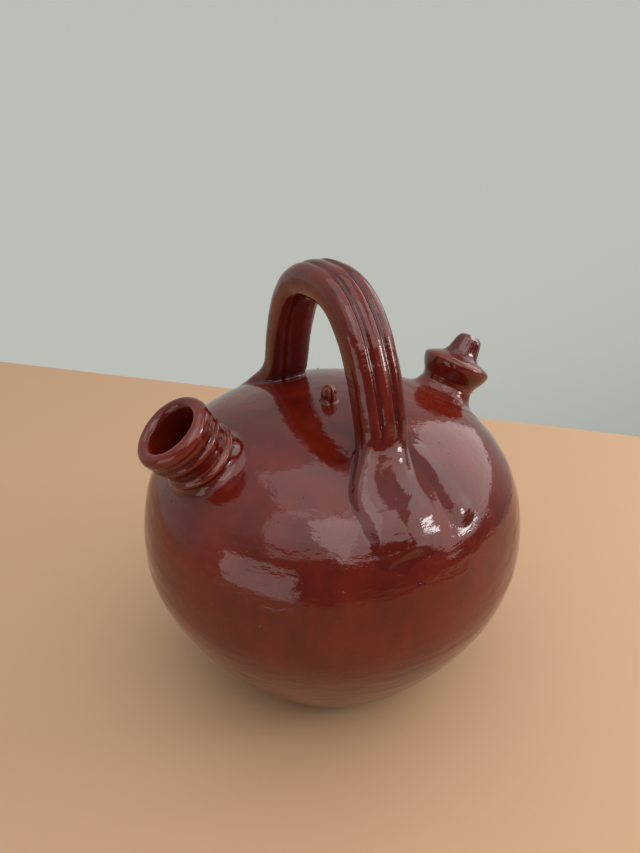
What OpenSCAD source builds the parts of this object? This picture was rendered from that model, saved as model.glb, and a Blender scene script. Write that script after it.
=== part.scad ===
// Spanish botijo: a glazed water jug with a crosswise overhead handle.
// Millimetres, +Z up. The origin is the middle of the flat base.
// The filling mouth points to -X, the drinking spout to +X, and the handle stands in the YZ plane.

/* [Body] */
// Widest diameter of the thrown globe
body_d = 220; // [200:1:240]
// Height of the widest line above the table
belly_z = 94; // [86:1:102]
// Height of the crown, where the globe was closed
crown_z = 173.5; // [165:0.5:185]
// Diameter of the flat base
base_d = 118; // [105:1:130]
// How far the side runs upright from the belly before it turns in
shoulder_pull = 56; // [46:1:64]
// How far the crown runs level before it turns down
crown_pull = 79; // [66:1:90]
// How far the side runs upright below the belly
belly_pull = 28; // [18:1:38]
// How far the side leaves the base in a straight line
foot_pull = 29; // [15:1:40]
// Slope of the side where it leaves the base, in degrees
foot_rise = 45; // [35:1:60]
// Thickness of the thrown wall
wall_t = 7; // [5:0.5:9]
// Thickness of the floor
floor_t = 9; // [7:0.5:12]

/* [Filling mouth] */
// How far inside the widest line the mouth's root sits
mouth_in = 35; // [30:1:40]
// Rise of the mouth's axis above the level, in degrees
mouth_rise = 56; // [50:1:62]
// Height of the lip's middle above the shoulder, along the axis
mouth_h = 25; // [22:1:30]
// Outside diameter of the rolled lip
lip_d = 41.6; // [38:0.2:46]
// Diameter of the lip's round roll
lip_roll = 9.2; // [8:0.2:10]
// Diameter of the straight bore
mouth_bore = 24; // [22:0.5:26]
// Outside diameter of the collar at its root
collar_d = 37.2; // [35:0.2:40]
// Diameter of the beads thrown below the lip
bead_t = 3.6; // [2.8:0.2:4.4]

/* [Drinking spout] */
// How far inside the widest line the spout's root sits
spout_in = 26; // [22:1:30]
// Rise of the spout's axis above the level, in degrees
spout_rise = 59; // [54:1:64]
// Height of the saucer's edge above the shoulder, along the axis
saucer_h = 17; // [15:0.5:20]
// Diameter of the saucer flange
saucer_d = 42.4; // [38:0.2:46]
// Diameter of the waisted neck under the saucer
spout_neck_d = 32.6; // [30:0.2:35]
// Height of the nozzle's tip above the saucer's edge
nozzle_h = 22; // [19:0.5:26]
// Diameter of the nozzle near its rounded tip
nozzle_tip_d = 14.4; // [13:0.2:16]
// Diameter of the nozzle where it joins the saucer
nozzle_root_d = 19.6; // [18:0.2:22]
// Diameter of the drinking hole
jet_d = 3.6; // [3:0.1:5]
// Length of the drinking hole's straight wall
jet_l = 7; // [5:0.5:9]

/* [Luting clay] */
// How far the clay smeared round the mouth climbs its collar
mouth_lute_h = 6.6; // [6:0.2:9]
// Radius of the hollow that the thumb pressed round the mouth
mouth_lute_r = 6; // [4:0.5:8]
// Thickness of the clay's rolled edge round the mouth
mouth_lute_t = 1.6; // [0.8:0.1:2]
// How far the clay smeared round the spout climbs its neck
spout_lute_h = 7.5; // [6:0.5:9]
// Radius of the hollow that the thumb pressed round the spout
spout_lute_r = 12; // [9:0.5:14]
// Thickness of the clay's edge round the spout
spout_lute_t = 0.5; // [0.3:0.1:1]

/* [Handle] */
// Rise of the strap's centre line above the crown
handle_rise = 67; // [60:1:75]
// Distance between the legs' centre lines, low down
handle_span = 117.5; // [108:0.5:126]
// How far below the crown the legs' lines stop narrowing
handle_drop = 95; // [85:1:105]
// How far the arch is turned about the vertical, in degrees
handle_turn = -3; // [-6:0.5:6]
// Squareness of the arch, 2 being an ellipse
handle_square = 2.57; // [2.2:0.01:3]
// Width of the strap
strap_w = 26; // [23:0.5:30]
// Thickness of the strap through its middle
strap_t = 19; // [16:0.5:21]
// Depth of the finger grooves between the three ribs
groove_t = 1.1; // [0.6:0.1:1.6]
// Squareness of the strap's section
strap_square = 2.8; // [2.4:0.1:3.4]
// Height above the crown where the strap meets its thumbed feet
foot_top = 9; // [6:0.5:12]
// How far inside the widest line each foot's smeared tail ends
tail_in = 14; // [12:1:18]
// Greatest width of a foot
foot_w = 35; // [30:1:40]
// Width of a foot's tail at its end
tail_w = 25; // [20:1:30]
// Thickness of a foot's tail on each side of its middle line
tail_t = 4.2; // [3:0.2:5]
// How far the near foot's tail is drawn towards the mouth
front_drift = 12; // [0:1:18]
// How far the far foot's tail is drawn towards the mouth
back_drift = 4; // [0:1:10]

/* [Knob] */
// Diameter of the pinched closing knob
knob_d = 9.6; // [8:0.2:12]
// Height of the knob above the crown
knob_h = 10.5; // [9:0.5:13]
// Diameter of the clay ring round the knob
knob_ring_d = 15; // [13:0.5:18]
// Thickness of the clay ring round the knob
knob_ring_t = 1.2; // [0.8:0.1:1.6]
// Number of pinched flutes
flutes = 9; // [7:1:11]
// Depth of each flute
flute_t = 0.7; // [0.4:0.1:0.9]

/* [Hidden] */
$fn = 96;

glaze = [0.36, 0.08, 0.06];
glaze_light = [0.44, 0.11, 0.08];
clay_smear = [0.30, 0.06, 0.05];

body_rad = body_d / 2;
base_rad = base_d / 2;
mouth_r = body_rad - mouth_in;
spout_r = body_rad - spout_in;
tail_r = body_rad - tail_in;
upper_steps = 20;
lower_steps = 12;
// How far roots, tools and cuts run past a surface
past = 30;

// The four points that pull the upper and the lower half of the globe's side
upper_pulls = [[body_rad, belly_z], [body_rad, belly_z + shoulder_pull],
               [crown_pull, crown_z], [0, crown_z]];
lower_pulls = [[base_rad, 0], [base_rad + foot_pull * cos(foot_rise), foot_pull * sin(foot_rise)],
               [body_rad, belly_z - belly_pull], [body_rad, belly_z]];

function curve(p, t) = pow(1 - t, 3) * p[0] + 3 * pow(1 - t, 2) * t * p[1]
                     + 3 * (1 - t) * t * t * p[2] + pow(t, 3) * p[3];
function slope(p, t) = 3 * pow(1 - t, 2) * (p[1] - p[0]) + 6 * (1 - t) * t * (p[2] - p[1])
                     + 3 * t * t * (p[3] - p[2]);
function unit(v) = v / norm(v);
// A point of the same curve moved inwards by t_in
function inset(p, t, t_in) = curve(p, t) + t_in * [-unit(slope(p, t))[1], unit(slope(p, t))[0]];
// Where the upper curve stands at a distance r from the axis
function shoulder_t(r, lo = 0, hi = 1, n = 24) =
    n == 0 ? (lo + hi) / 2
    : curve(upper_pulls, (lo + hi) / 2)[0] > r ? shoulder_t(r, (lo + hi) / 2, hi, n - 1)
    : shoulder_t(r, lo, (lo + hi) / 2, n - 1);
function shoulder_z(r) = curve(upper_pulls, shoulder_t(r))[1];
function shoulder_dir(r) = unit(slope(upper_pulls, shoulder_t(r)));

// A smooth line through hand-set points, with its ends kept
function blend4(a, b, c, d, t) = 0.5 * ((2 * b) + (c - a) * t + (2 * a - 5 * b + 4 * c - d) * t * t
                               + (3 * b - a - 3 * c + d) * t * t * t);
function smooth(p, n = 4) = concat(
    [for (i = [0 : len(p) - 2]) for (k = [0 : n - 1])
        blend4(p[max(i - 1, 0)], p[i], p[i + 1], p[min(i + 2, len(p) - 1)], k / n)],
    [p[len(p) - 1]]);

// A profile of radius and height, turned about the Z axis
module turned(profile) {
    rotate_extrude() polygon(profile);
}

// The outside of the globe as one solid
module globe() {
    turned(concat(
        [[0, 0]],
        [for (k = [0 : lower_steps - 1]) curve(lower_pulls, k / lower_steps)],
        [for (k = [0 : upper_steps]) curve(upper_pulls, k / upper_steps)]));
}

module cavity() {
    rotate_extrude() intersection() {
        polygon(concat(
            [[0, 0]],
            [for (k = [0 : lower_steps - 1]) inset(lower_pulls, k / lower_steps, wall_t)],
            [for (k = [0 : upper_steps]) inset(upper_pulls, k / upper_steps, wall_t)]));
        translate([0, floor_t]) square([body_rad, crown_z]);
    }
}

// Puts its children on the shoulder, with +Z along a neck's axis and zero height at the shoulder
module on_shoulder(side, r, rise) {
    translate([side * r, 0, shoulder_z(r)]) rotate([0, side * (90 - rise), 0]) children();
}

module at_mouth() {
    on_shoulder(-1, mouth_r, mouth_rise) children();
}

module at_spout() {
    on_shoulder(1, spout_r, spout_rise) children();
}

spout_hole_d = spout_neck_d - 2 * wall_t;

module body() {
    color(glaze) difference() {
        globe();
        cavity();
        at_mouth() translate([0, 0, -past]) cylinder(d = mouth_bore, h = 2 * past);
        at_spout() translate([0, 0, -past]) cylinder(d = spout_hole_d, h = 2 * past);
    }
}

// Heights of the thrown beads below the middle of the lip
bead_drop = [4.6, 8.4, 13.4];
// How far each bead stands back from the lip's outside
bead_back = [0.2, 0, 1];
// How far round a bead's arc runs, above and below its middle
bead_a = 58;
// Where the lip's roll ends above the first bead
lip_end_a = -24;

// Points of an arc about c, turned from angle a0 to angle a1
function arc(c, r, a0, a1, n) = [
    for (k = [0 : n])
        let (a = a0 + (a1 - a0) * k / n)
        c + r * [cos(a), sin(a)]];
function bead(i) = arc([(lip_d - bead_t) / 2 - bead_back[i], mouth_h - bead_drop[i]],
                       bead_t / 2, bead_a, -bead_a, 5);

module filling_mouth() {
    bore_r = mouth_bore / 2;
    roll_r = lip_roll / 2;
    lip_c = lip_d / 2 - roll_r;
    // Where the lip's roll runs out into the bore
    lip_a = 180 - acos((lip_c - bore_r) / roll_r);
    color(glaze_light) difference() {
        at_mouth() turned(concat(
            [[bore_r, -past]],
            arc([lip_c, mouth_h], roll_r, lip_a, lip_end_a, 16),
            bead(0), bead(1), bead(2),
            [[collar_d / 2, mouth_h - bead_drop[2] - bead_t], [collar_d / 2, -past]]));
        globe();
    }
}

// How far the thumb's hollow turns out, and how deep its straight skirt runs under the shoulder
lean = 42;
sunk = past / 2;

// A ring of clay: a rolled edge on the neck, a thumbed hollow, and a skirt that dies into the shoulder
module luting(neck_d, climb, edge, fillet) {
    neck = neck_d / 2;
    hollow = arc([neck + edge + fillet, climb - edge], fillet, 180, 180 + lean, 8);
    skirt = hollow[8];
    turned(concat(
        [[neck, -sunk]],
        arc([neck, climb - edge], edge, 90, 15, 5),
        hollow,
        [[skirt[0] + (skirt[1] + sunk) * tan(lean), -sunk]]));
}

module mouth_luting_coil() {
    color(clay_smear) difference() {
        at_mouth() luting(collar_d, mouth_lute_h, mouth_lute_t, mouth_lute_r);
        globe();
    }
}

tip_r = nozzle_tip_d / 2;
root_r = nozzle_root_d / 2;
edge_r = saucer_d / 2;
waist_r = spout_neck_d / 2;
// Hand-set points of the spout's side: the first three groups step out from the tip's corner, from the
// nozzle's root and from the saucer's edge, the last from the waist, with heights above the saucer's edge
tip_round = [[-2.3, -0.5], [-0.4, -2], [0, -4.4]];
taper_drop = 9;
root_flare = [[0, 9.6], [3.4, 7.6]];
saucer_roll = [[-3.4, 5.8], [-0.8, 3.6], [0, 1], [-1.2, -1.8]];
waist_flare = [[2.2, -5.4], [0.4, -8], [0, -10.5]];
// Each group moved to its place, as distances from the axis and heights
function moved(group, place) = [for (p = group) place + p];
spout_side = concat(
    moved(tip_round, [tip_r, nozzle_h]),
    [[(tip_r + root_r) / 2, nozzle_h - taper_drop]],
    moved(root_flare, [root_r, 0]),
    moved(saucer_roll, [edge_r, 0]),
    moved(waist_flare, [waist_r, 0]),
    [[waist_r, -saucer_h], [waist_r, -past]]);
// The inside narrows between these two heights, from the neck's bore to the nozzle's throat
throat_low = -5;
throat_top = 4;
nozzle_wall = 2;
throat_r = tip_r - nozzle_wall;

module drinking_spout() {
    inner_r = spout_hole_d / 2;
    color(glaze_light) difference() {
        at_spout() translate([0, 0, saucer_h]) turned(concat(
            [[jet_d / 2, nozzle_h]],
            smooth(spout_side, 3),
            [[inner_r, -past], [inner_r, throat_low], [throat_r, throat_top]],
            [[jet_d / 2, nozzle_h - jet_l]]));
        globe();
    }
}

module spout_luting_coil() {
    color(clay_smear) difference() {
        at_spout() luting(spout_neck_d, spout_lute_h, spout_lute_t, spout_lute_r);
        globe();
    }
}

// The arch of the handle's centre line
spring_z = crown_z - handle_drop;
arch_rise = handle_rise + handle_drop;
half_span = handle_span / 2;
arch_pow = 2 / handle_square;
foot_a = asin(pow((crown_z + foot_top - spring_z) / arch_rise, handle_square / 2));

function signed_pow(v, e) = sign(v) * pow(abs(v), e);
function arch(a) = [half_span * signed_pow(cos(a), arch_pow),
                    spring_z + arch_rise * pow(sin(a), arch_pow)];
// Direction of the arch, taken over one degree
function arch_dir(a) = unit(arch(a + 0.5) - arch(a - 0.5));

// One ring of the strap's section, across X and out along n, about c in the YZ plane
ring_n = 36;
function ring(c, n, x0, hw, ht, square, groove) = [
    for (k = [0 : ring_n - 1])
        let (a = 360 * k / ring_n,
             u = hw * signed_pow(cos(a), 2 / square),
             side = signed_pow(sin(a), 2 / square),
             rib = side > 0 ? groove * side * (cos(540 * u / hw) - 1) / 2 : 0,
             v = ht * side + rib)
        [x0 + u, c[0] + n[0] * v, c[1] + n[1] * v]];

// A closed skin over a list of rings
module skin(rings) {
    m = len(rings) - 1;
    quads = [for (i = [0 : m - 1]) for (k = [0 : ring_n - 1])
        [i * ring_n + k, i * ring_n + (k + 1) % ring_n,
         (i + 1) * ring_n + (k + 1) % ring_n, (i + 1) * ring_n + k]];
    triangles = [for (q = quads) for (t = [[q[0], q[3], q[1]], [q[1], q[3], q[2]]]) t];
    near_end = [for (k = [1 : ring_n - 2]) [0, k, k + 1]];
    far_end = [for (k = [1 : ring_n - 2]) [m * ring_n, m * ring_n + k + 1, m * ring_n + k]];
    polyhedron([for (r = rings) for (p = r) p], concat(triangles, near_end, far_end));
}

arch_steps = 40;

module handle() {
    color(glaze) rotate(handle_turn) skin([for (i = [0 : arch_steps])
        let (a = foot_a + (180 - 2 * foot_a) * i / arch_steps, d = arch_dir(a))
        ring(arch(a), [d[1], -d[0]], 0, strap_w / 2, strap_t / 2, strap_square, groove_t)]);
}

// The centre line of a foot: down the leg, then out along the shoulder
foot_steps = 16;
leg_end = arch(foot_a);
tail_end = [tail_r, shoulder_z(tail_r)];
// How far the foot's line keeps to the leg, and to the shoulder, as a share of its straight length
reach_share = 0.44;
foot_reach = reach_share * norm(tail_end - leg_end);
foot_pulls = [leg_end, leg_end - arch_dir(foot_a) * foot_reach,
              tail_end + shoulder_dir(tail_r) * foot_reach, tail_end];
// Shares of the foot's length where it is widest, has drifted, has thinned out, and where the grooves end
widest_at = 0.6;
drifted_at = 0.6;
thinned_at = 0.75;
grooves_end_at = 0.3;
// Squareness of the tail's section, and its thickness where it ends
tail_square = 2.1;
feather_t = 0.3;

// A smooth turn from a to b while t runs from 0 to 1
function ease(a, b, t) = a + (b - a) * t * t * (3 - 2 * t);
function foot_width(t) = t < widest_at ? ease(strap_w, foot_w, t / widest_at)
                       : ease(foot_w, tail_w, (t - widest_at) / (1 - widest_at));
function foot_thickness(t) = feather_t * t
                           + ease(strap_t / 2, tail_t * (1 - pow(t, 3)), min(t / thinned_at, 1));

module foot(drift) {
    difference() {
        skin([for (i = [0 : foot_steps])
            let (t = i / foot_steps, d = unit(slope(foot_pulls, t)))
            ring(curve(foot_pulls, t), [-d[1], d[0]], ease(0, -drift, min(t / drifted_at, 1)),
                 foot_width(t) / 2, foot_thickness(t), ease(strap_square, tail_square, t),
                 ease(groove_t, 0, min(t / grooves_end_at, 1)))]);
        globe();
    }
}

module front_handle_foot() {
    color(clay_smear) rotate(handle_turn) mirror([0, 1, 0]) foot(front_drift);
}

module back_handle_foot() {
    color(clay_smear) rotate(handle_turn) foot(back_drift);
}

// Radius of the fingers' pinch marks, how far they lean in, and how high they start
pinch_r = 1.2;
pinch_lean = 9;
pinch_z = 2.6;
// How far the ring's round edge and the knob's waist and shoulder step in, and how high the waist sits
ring_round = [0.6, 2];
knob_waist = 0.2;
knob_shoulder = [0.6, 2];
waist_z = 1;

module crown_knob() {
    ring_r = knob_ring_d / 2;
    knob_r = knob_d / 2;
    color(clay_smear) difference() {
        translate([0, 0, crown_z]) difference() {
            turned(concat(
                [[0, -knob_ring_t], [ring_r, -knob_ring_t], [ring_r, 0]],
                smooth([[ring_r - ring_round[0], knob_ring_t * 0.6], [ring_r - ring_round[1], knob_ring_t],
                        [knob_r - knob_waist, knob_ring_t + waist_z], [knob_r, knob_h * 0.45],
                        [knob_r - knob_shoulder[0], knob_h * 0.7],
                        [knob_r - knob_shoulder[1], knob_h * 0.9], [knob_r / 4, knob_h]], 3),
                [[0, knob_h]]));
            for (i = [0 : flutes - 1])
                rotate(i * 360 / flutes) translate([knob_r - flute_t + pinch_r, 0, pinch_z])
                    rotate([0, -pinch_lean, 0]) cylinder(r = pinch_r, h = knob_h);
        }
        globe();
    }
}

body();
filling_mouth();
mouth_luting_coil();
drinking_spout();
spout_luting_coil();
handle();
front_handle_foot();
back_handle_foot();
crown_knob();
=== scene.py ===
import math

import bpy
import numpy as np
from mathutils import Matrix, Vector


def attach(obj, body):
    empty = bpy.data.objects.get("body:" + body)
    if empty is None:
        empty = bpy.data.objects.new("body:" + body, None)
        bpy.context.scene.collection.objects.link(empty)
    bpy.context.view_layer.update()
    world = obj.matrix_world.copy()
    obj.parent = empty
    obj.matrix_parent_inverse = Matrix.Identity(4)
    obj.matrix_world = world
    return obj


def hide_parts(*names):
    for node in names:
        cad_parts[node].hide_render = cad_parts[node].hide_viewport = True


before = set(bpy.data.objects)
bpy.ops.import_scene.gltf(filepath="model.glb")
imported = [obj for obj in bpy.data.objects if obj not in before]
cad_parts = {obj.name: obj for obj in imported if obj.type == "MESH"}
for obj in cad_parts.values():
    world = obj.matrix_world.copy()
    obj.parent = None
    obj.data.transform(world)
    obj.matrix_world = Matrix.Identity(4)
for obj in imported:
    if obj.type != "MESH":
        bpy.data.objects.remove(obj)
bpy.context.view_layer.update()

# Millimetres to metres
MM = 0.001

# The globe's side, in millimetres, as the solids have it
BODY_R, BELLY_Z, CROWN_Z, BASE_R = 110, 94, 173.5, 59
SHOULDER_PULL, CROWN_PULL, BELLY_PULL, FOOT_PULL, FOOT_RISE = 56, 79, 28, 29, 45
WALL_T, FLOOR_T = 7, 9

# The necks: distance of the root from the middle, rise of the axis in degrees, height of lip or saucer
MOUTH_R, MOUTH_RISE, MOUTH_H, MOUTH_BORE_R = 75, 56, 25, 12
SPOUT_R, SPOUT_RISE, SAUCER_H, SPOUT_HOLE_R = 84, 59, 17, 9.3
JET_R, JET_L, NOZZLE_H = 1.8, 7, 22

# The strap handle and its feet
HANDLE_RISE, HALF_SPAN, HANDLE_DROP, HANDLE_SQUARE, HANDLE_TURN = 67, 58.75, 95, 2.57, -3
STRAP_W, STRAP_T, STRAP_SQUARE = 26.6, 19.6, 2.8
RIB_DEPTH, RIB_PLACE, RIB_WIDTH = 1.6, 0.33, 0.11
FOOT_TOP, TAIL_R, FOOT_W, TAIL_W, TAIL_T = 9, 96, 35, 25, 4.2
FRONT_DRIFT, BACK_DRIFT, REACH_SHARE = 12, 4, 0.44
WIDEST_AT, DRIFTED_AT, THINNED_AT, FEATHER_T = 0.6, 0.6, 0.75, 0.3

# A foot begins as a sleeve round the strap, and its tail sinks into the shoulder
LEG_STEPS, SLEEVE_A, SLEEVE_DIVE = 16, 0.16, 0.5
TAIL_SUNK, TAIL_DIVE = 4, 1.3

# The hollow where a foot meets the shoulder, beside the leg and at the tail, and how far its clay reaches
CREASE, TAIL_CREASE, SMEAR_REACH = 2.2, 8.2, 8.5

# How far a piece's skin lies under its neighbour's where they run together, how deep its edge ends and over
# what run, how far its clay goes on beyond the edge, and how thick it stays under the neighbour's skin
TUCK, EDGE_DIVE, EDGE_RUN, EDGE_ROOM, KEPT_UNDER = 0.06, 0.8, 3, 4, 2

# A bore through the globe's wall: its room round the neck's own, and its reach inwards and outwards
BORE_ROOM, BORE_IN, BORE_OUT = 2, 34, 12

UPPER_PULLS = [(BODY_R, BELLY_Z), (BODY_R, BELLY_Z + SHOULDER_PULL), (CROWN_PULL, CROWN_Z), (0, CROWN_Z)]
LOWER_PULLS = [(BASE_R, 0), (BASE_R + FOOT_PULL * math.cos(math.radians(FOOT_RISE)),
                             FOOT_PULL * math.sin(math.radians(FOOT_RISE))),
               (BODY_R, BELLY_Z - BELLY_PULL), (BODY_R, BELLY_Z)]


def ease(t):
    """A smooth turn from 0 to 1 while t runs from 0 to 1."""
    t = np.clip(t, 0, 1)
    return t * t * (3 - 2 * t)


def unit(v):
    return v / np.maximum(np.linalg.norm(v, axis=-1, keepdims=True), 1e-12)


def bezier(pulls, t):
    p = np.asarray(pulls, float)
    t = np.asarray(t, float)[..., None]
    return (1 - t) ** 3 * p[0] + 3 * (1 - t) ** 2 * t * p[1] + 3 * (1 - t) * t * t * p[2] + t ** 3 * p[3]


def bezier_slope(pulls, t):
    p = np.asarray(pulls, float)
    t = np.asarray(t, float)[..., None]
    return 3 * ((1 - t) ** 2 * (p[1] - p[0]) + 2 * (1 - t) * t * (p[2] - p[1]) + t * t * (p[3] - p[2]))


def flowing(points, n=12):
    """A smooth line through given points, with its ends kept."""
    p = np.asarray(points, float)
    p = np.vstack([p[:1], p, p[-1:]])
    t = np.linspace(0, 1, n, endpoint=False)[:, None]
    parts = []
    for a, b, c, d in zip(p[:-3], p[1:-2], p[2:-1], p[3:]):
        parts.append(0.5 * (2 * b + (c - a) * t + (2 * a - 5 * b + 4 * c - d) * t ** 2
                            + (3 * b - a - 3 * c + d) * t ** 3))
    return np.vstack(parts + [p[-1:]])


def paced(points, step):
    """The same line with points about one step apart."""
    p = np.asarray(points, float)
    run = np.concatenate([[0], np.cumsum(np.linalg.norm(np.diff(p, axis=0), axis=1))])
    s = np.linspace(0, run[-1], max(int(run[-1] / step), 4) + 1)
    return np.stack([np.interp(s, run, p[:, k]) for k in range(p.shape[1])], 1)


def arc(centre, r, start, end, n=16):
    a = np.radians(np.linspace(start, end, n))
    return np.stack([centre[0] + r * np.cos(a), centre[1] + r * np.sin(a)], 1)


def cloud(p, wave, seed=0):
    """Smooth noise between -1 and 1, with hills about one wave apart."""
    q = p / wave + np.array([12.7, 7.3, 31.1]) * (seed + 1)
    cell = np.floor(q).astype(np.int64)
    f = q - cell
    f = f * f * f * (f * (6 * f - 15) + 10)
    total = np.zeros(len(q))
    for corner in np.ndindex(2, 2, 2):
        c = cell + np.array(corner)
        h = (c[:, 0] * 73856093) ^ (c[:, 1] * 19349663) ^ (c[:, 2] * 83492791) ^ (seed * 7919 + 101)
        h = ((h ^ (h >> 13)) * 1274126177) & 0x7FFFFFFF
        value = ((h ^ (h >> 15)) & 0xFFFF) / 32767.5 - 1
        total += value * np.prod(np.where(corner, f, 1 - f), axis=1)
    return total


def blended(a, b, k):
    """The nearer of two distances, with a hollow of size k where they meet."""
    return np.minimum(a, b) - np.maximum(k - np.abs(a - b), 0) ** 2 / (4 * k)


# Outlines of radius and height

def globe_side(inset=0.0):
    """The globe's side from base to crown, moved inwards by inset."""
    parts = []
    for pulls in (LOWER_PULLS, UPPER_PULLS):
        t = np.linspace(0, 1, 120)
        way = unit(bezier_slope(pulls, t))
        parts.append(bezier(pulls, t) + inset * np.stack([-way[:, 1], way[:, 0]], 1))
    return np.vstack([parts[0], parts[1][1:]])


def globe_outline():
    """The globe's outside, with a shallow hollow and a rounded foot edge underneath."""
    side = globe_side()
    foot = [(0, 1.0), (30, 1.0), (46, 0.9), (50, 0.45), (52.5, 0.0), (57.2, 0.0), (58.8, 0.4), (59.8, 1.2)]
    foot = flowing(foot, 6)
    return np.vstack([np.maximum(foot, 0), side[side[:, 1] > 2.0]])


def hollow_outline():
    """The inside of the globe, from the floor to the crown."""
    side = globe_side(WALL_T)
    side = side[side[:, 1] > FLOOR_T]
    crown = side[side[:, 0] > 0.5]
    return np.vstack([[(0, FLOOR_T)], crown, [(0, CROWN_Z - WALL_T)]])


def mouth_outline():
    """The collar from its buried foot, up the beads, over the rolled lip and down the bore."""
    beads = [(18.6, -9), (18.6, 6.2), (18.45, 8.6), (18.6, 10.8), (18.65, 12.4), (18.95, 13.7), (19.7, 14.9),
             (20.3, 16.2), (20.3, 17.4), (19.6, 18.6), (19.3, 19.4), (19.7, 20.2), (20.3, 21.2), (20.55, 22.2)]
    lip = arc((15.9, MOUTH_H + 0.1), 4.8, -22, 70, 24)
    funnel = [(16.8, 29.7), (15.7, 29.55), (14.5, 28.9), (13.5, 27.6), (12.8, 25.6), (12.4, 22.8), (12.2, 19.6),
              (12.1, 16), (12.3, 11), (12.0, 6), (12.15, 0), (12.0, -9)]
    return np.vstack([flowing(beads, 8), lip, flowing(funnel, 8)])


def spout_outline():
    """The spout from its buried foot, up the waist, round the saucer and nozzle, and down the inside."""
    out = [(16.3, -9), (16.5, 5.2), (16.75, 7.3), (17.3, 9.5), (18.6, 11.8), (19.9, 14.4), (20.7, 16.6),
           (21.05, 18.2), (21.1, 19.5), (20.75, 20.5), (19.8, 21.5), (18.2, 22.5), (15.2, 23.7), (11.9, 25.0),
           (9.95, 27.4), (9.0, 30.3), (8.25, 33.4), (7.6, 35.7), (6.6, 37.7), (4.7, 38.8), (2.8, 38.9),
           (JET_R, 38.3)]
    inside = [(JET_R, 36), (JET_R, NOZZLE_H + SAUCER_H - JET_L), (5.2, 22), (8.2, 15), (SPOUT_HOLE_R, 10),
              (SPOUT_HOLE_R, -9)]
    return np.vstack([flowing(out, 8), inside])


# Places on the shoulder

SHOULDER = bezier(UPPER_PULLS, np.linspace(0, 1, 2000))


def shoulder_height(r):
    return float(np.interp(-r, -SHOULDER[:, 0], SHOULDER[:, 1]))


class Neck:
    """A neck's own frame: its root on the shoulder, its axis, and two directions across it."""

    def __init__(self, side, r, rise):
        a = math.radians(rise)
        self.root = np.array([side * r, 0, shoulder_height(r)])
        self.axis = np.array([side * math.cos(a), 0, math.sin(a)])
        self.down = np.array([side * math.sin(a), 0, -math.cos(a)])
        self.across = np.cross(self.axis, self.down)

    def place(self, p):
        return self.root + p[:, :1] * self.down + p[:, 1:2] * self.across + p[:, 2:] * self.axis

    def section(self, p):
        """Distance from the axis, and height above the shoulder."""
        q = p - self.root
        h = q @ self.axis
        return np.linalg.norm(q - h[:, None] * self.axis, axis=1), h


mouth_neck = Neck(-1, MOUTH_R, MOUTH_RISE)
spout_neck = Neck(1, SPOUT_R, SPOUT_RISE)


def section_field(outline, pad=26, cell=0.5):
    """A lookup of the distance outside a turned outline, by radius and height."""
    o = np.asarray(outline, float)
    r_axis = np.arange(0, o[:, 0].max() + pad, cell)
    z_axis = np.arange(o[:, 1].min() - pad, o[:, 1].max() + pad, cell)
    r, z = np.meshgrid(r_axis, z_axis, indexing="ij")
    near = np.full(r.shape, 1e9)
    inside = np.zeros(r.shape, bool)
    for (r0, z0), (r1, z1) in zip(o, np.roll(o, -1, axis=0)):
        dr, dz = r1 - r0, z1 - z0
        t = np.clip(((r - r0) * dr + (z - z0) * dz) / max(dr * dr + dz * dz, 1e-12), 0, 1)
        if r0 > 1e-6 or r1 > 1e-6:
            near = np.minimum(near, np.hypot(r - r0 - t * dr, z - z0 - t * dz))
        if abs(dz) > 1e-9:
            inside ^= ((z0 > z) != (z1 > z)) & (r < r0 + (z - z0) * dr / dz)
    table = np.where(inside, -near, near)

    def look_up(radius, height):
        i = np.clip(radius / cell, 0, len(r_axis) - 1.001)
        j = np.clip((height - z_axis[0]) / cell, 0, len(z_axis) - 1.001)
        i0, j0 = i.astype(int), j.astype(int)
        a, b = i - i0, j - j0
        low = table[i0, j0] * (1 - a) + table[i0 + 1, j0] * a
        high = table[i0, j0 + 1] * (1 - a) + table[i0 + 1, j0 + 1] * a
        return low * (1 - b) + high * b

    return look_up


globe_section = section_field(np.vstack([globe_outline(), [(0, 1.0)]]))
mouth_section = section_field([(0, -20), (18.6, -20)] + [q for q in mouth_outline() if q[0] > 16.5] + [(0, 28)])
spout_section = section_field([(0, -20), (16.3, -20)] + [q for q in spout_outline() if q[0] > 10] + [(0, 26)])


def globe_field(p):
    return globe_section(np.hypot(p[:, 0], p[:, 1]), p[:, 2])


# The strap's path and section

def signed_power(v, e):
    return np.sign(v) * np.abs(v) ** e


SPRING_Z = CROWN_Z - HANDLE_DROP
ARCH_RISE = HANDLE_RISE + HANDLE_DROP
FOOT_A = math.asin(((CROWN_Z + FOOT_TOP - SPRING_Z) / ARCH_RISE) ** (HANDLE_SQUARE / 2))


def arch(a):
    """The handle's centre line at angle a, as distance from the middle and height."""
    e = 2 / HANDLE_SQUARE
    return np.stack([HALF_SPAN * signed_power(np.cos(a), e), SPRING_Z + ARCH_RISE * np.sin(a) ** e], -1)


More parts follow.
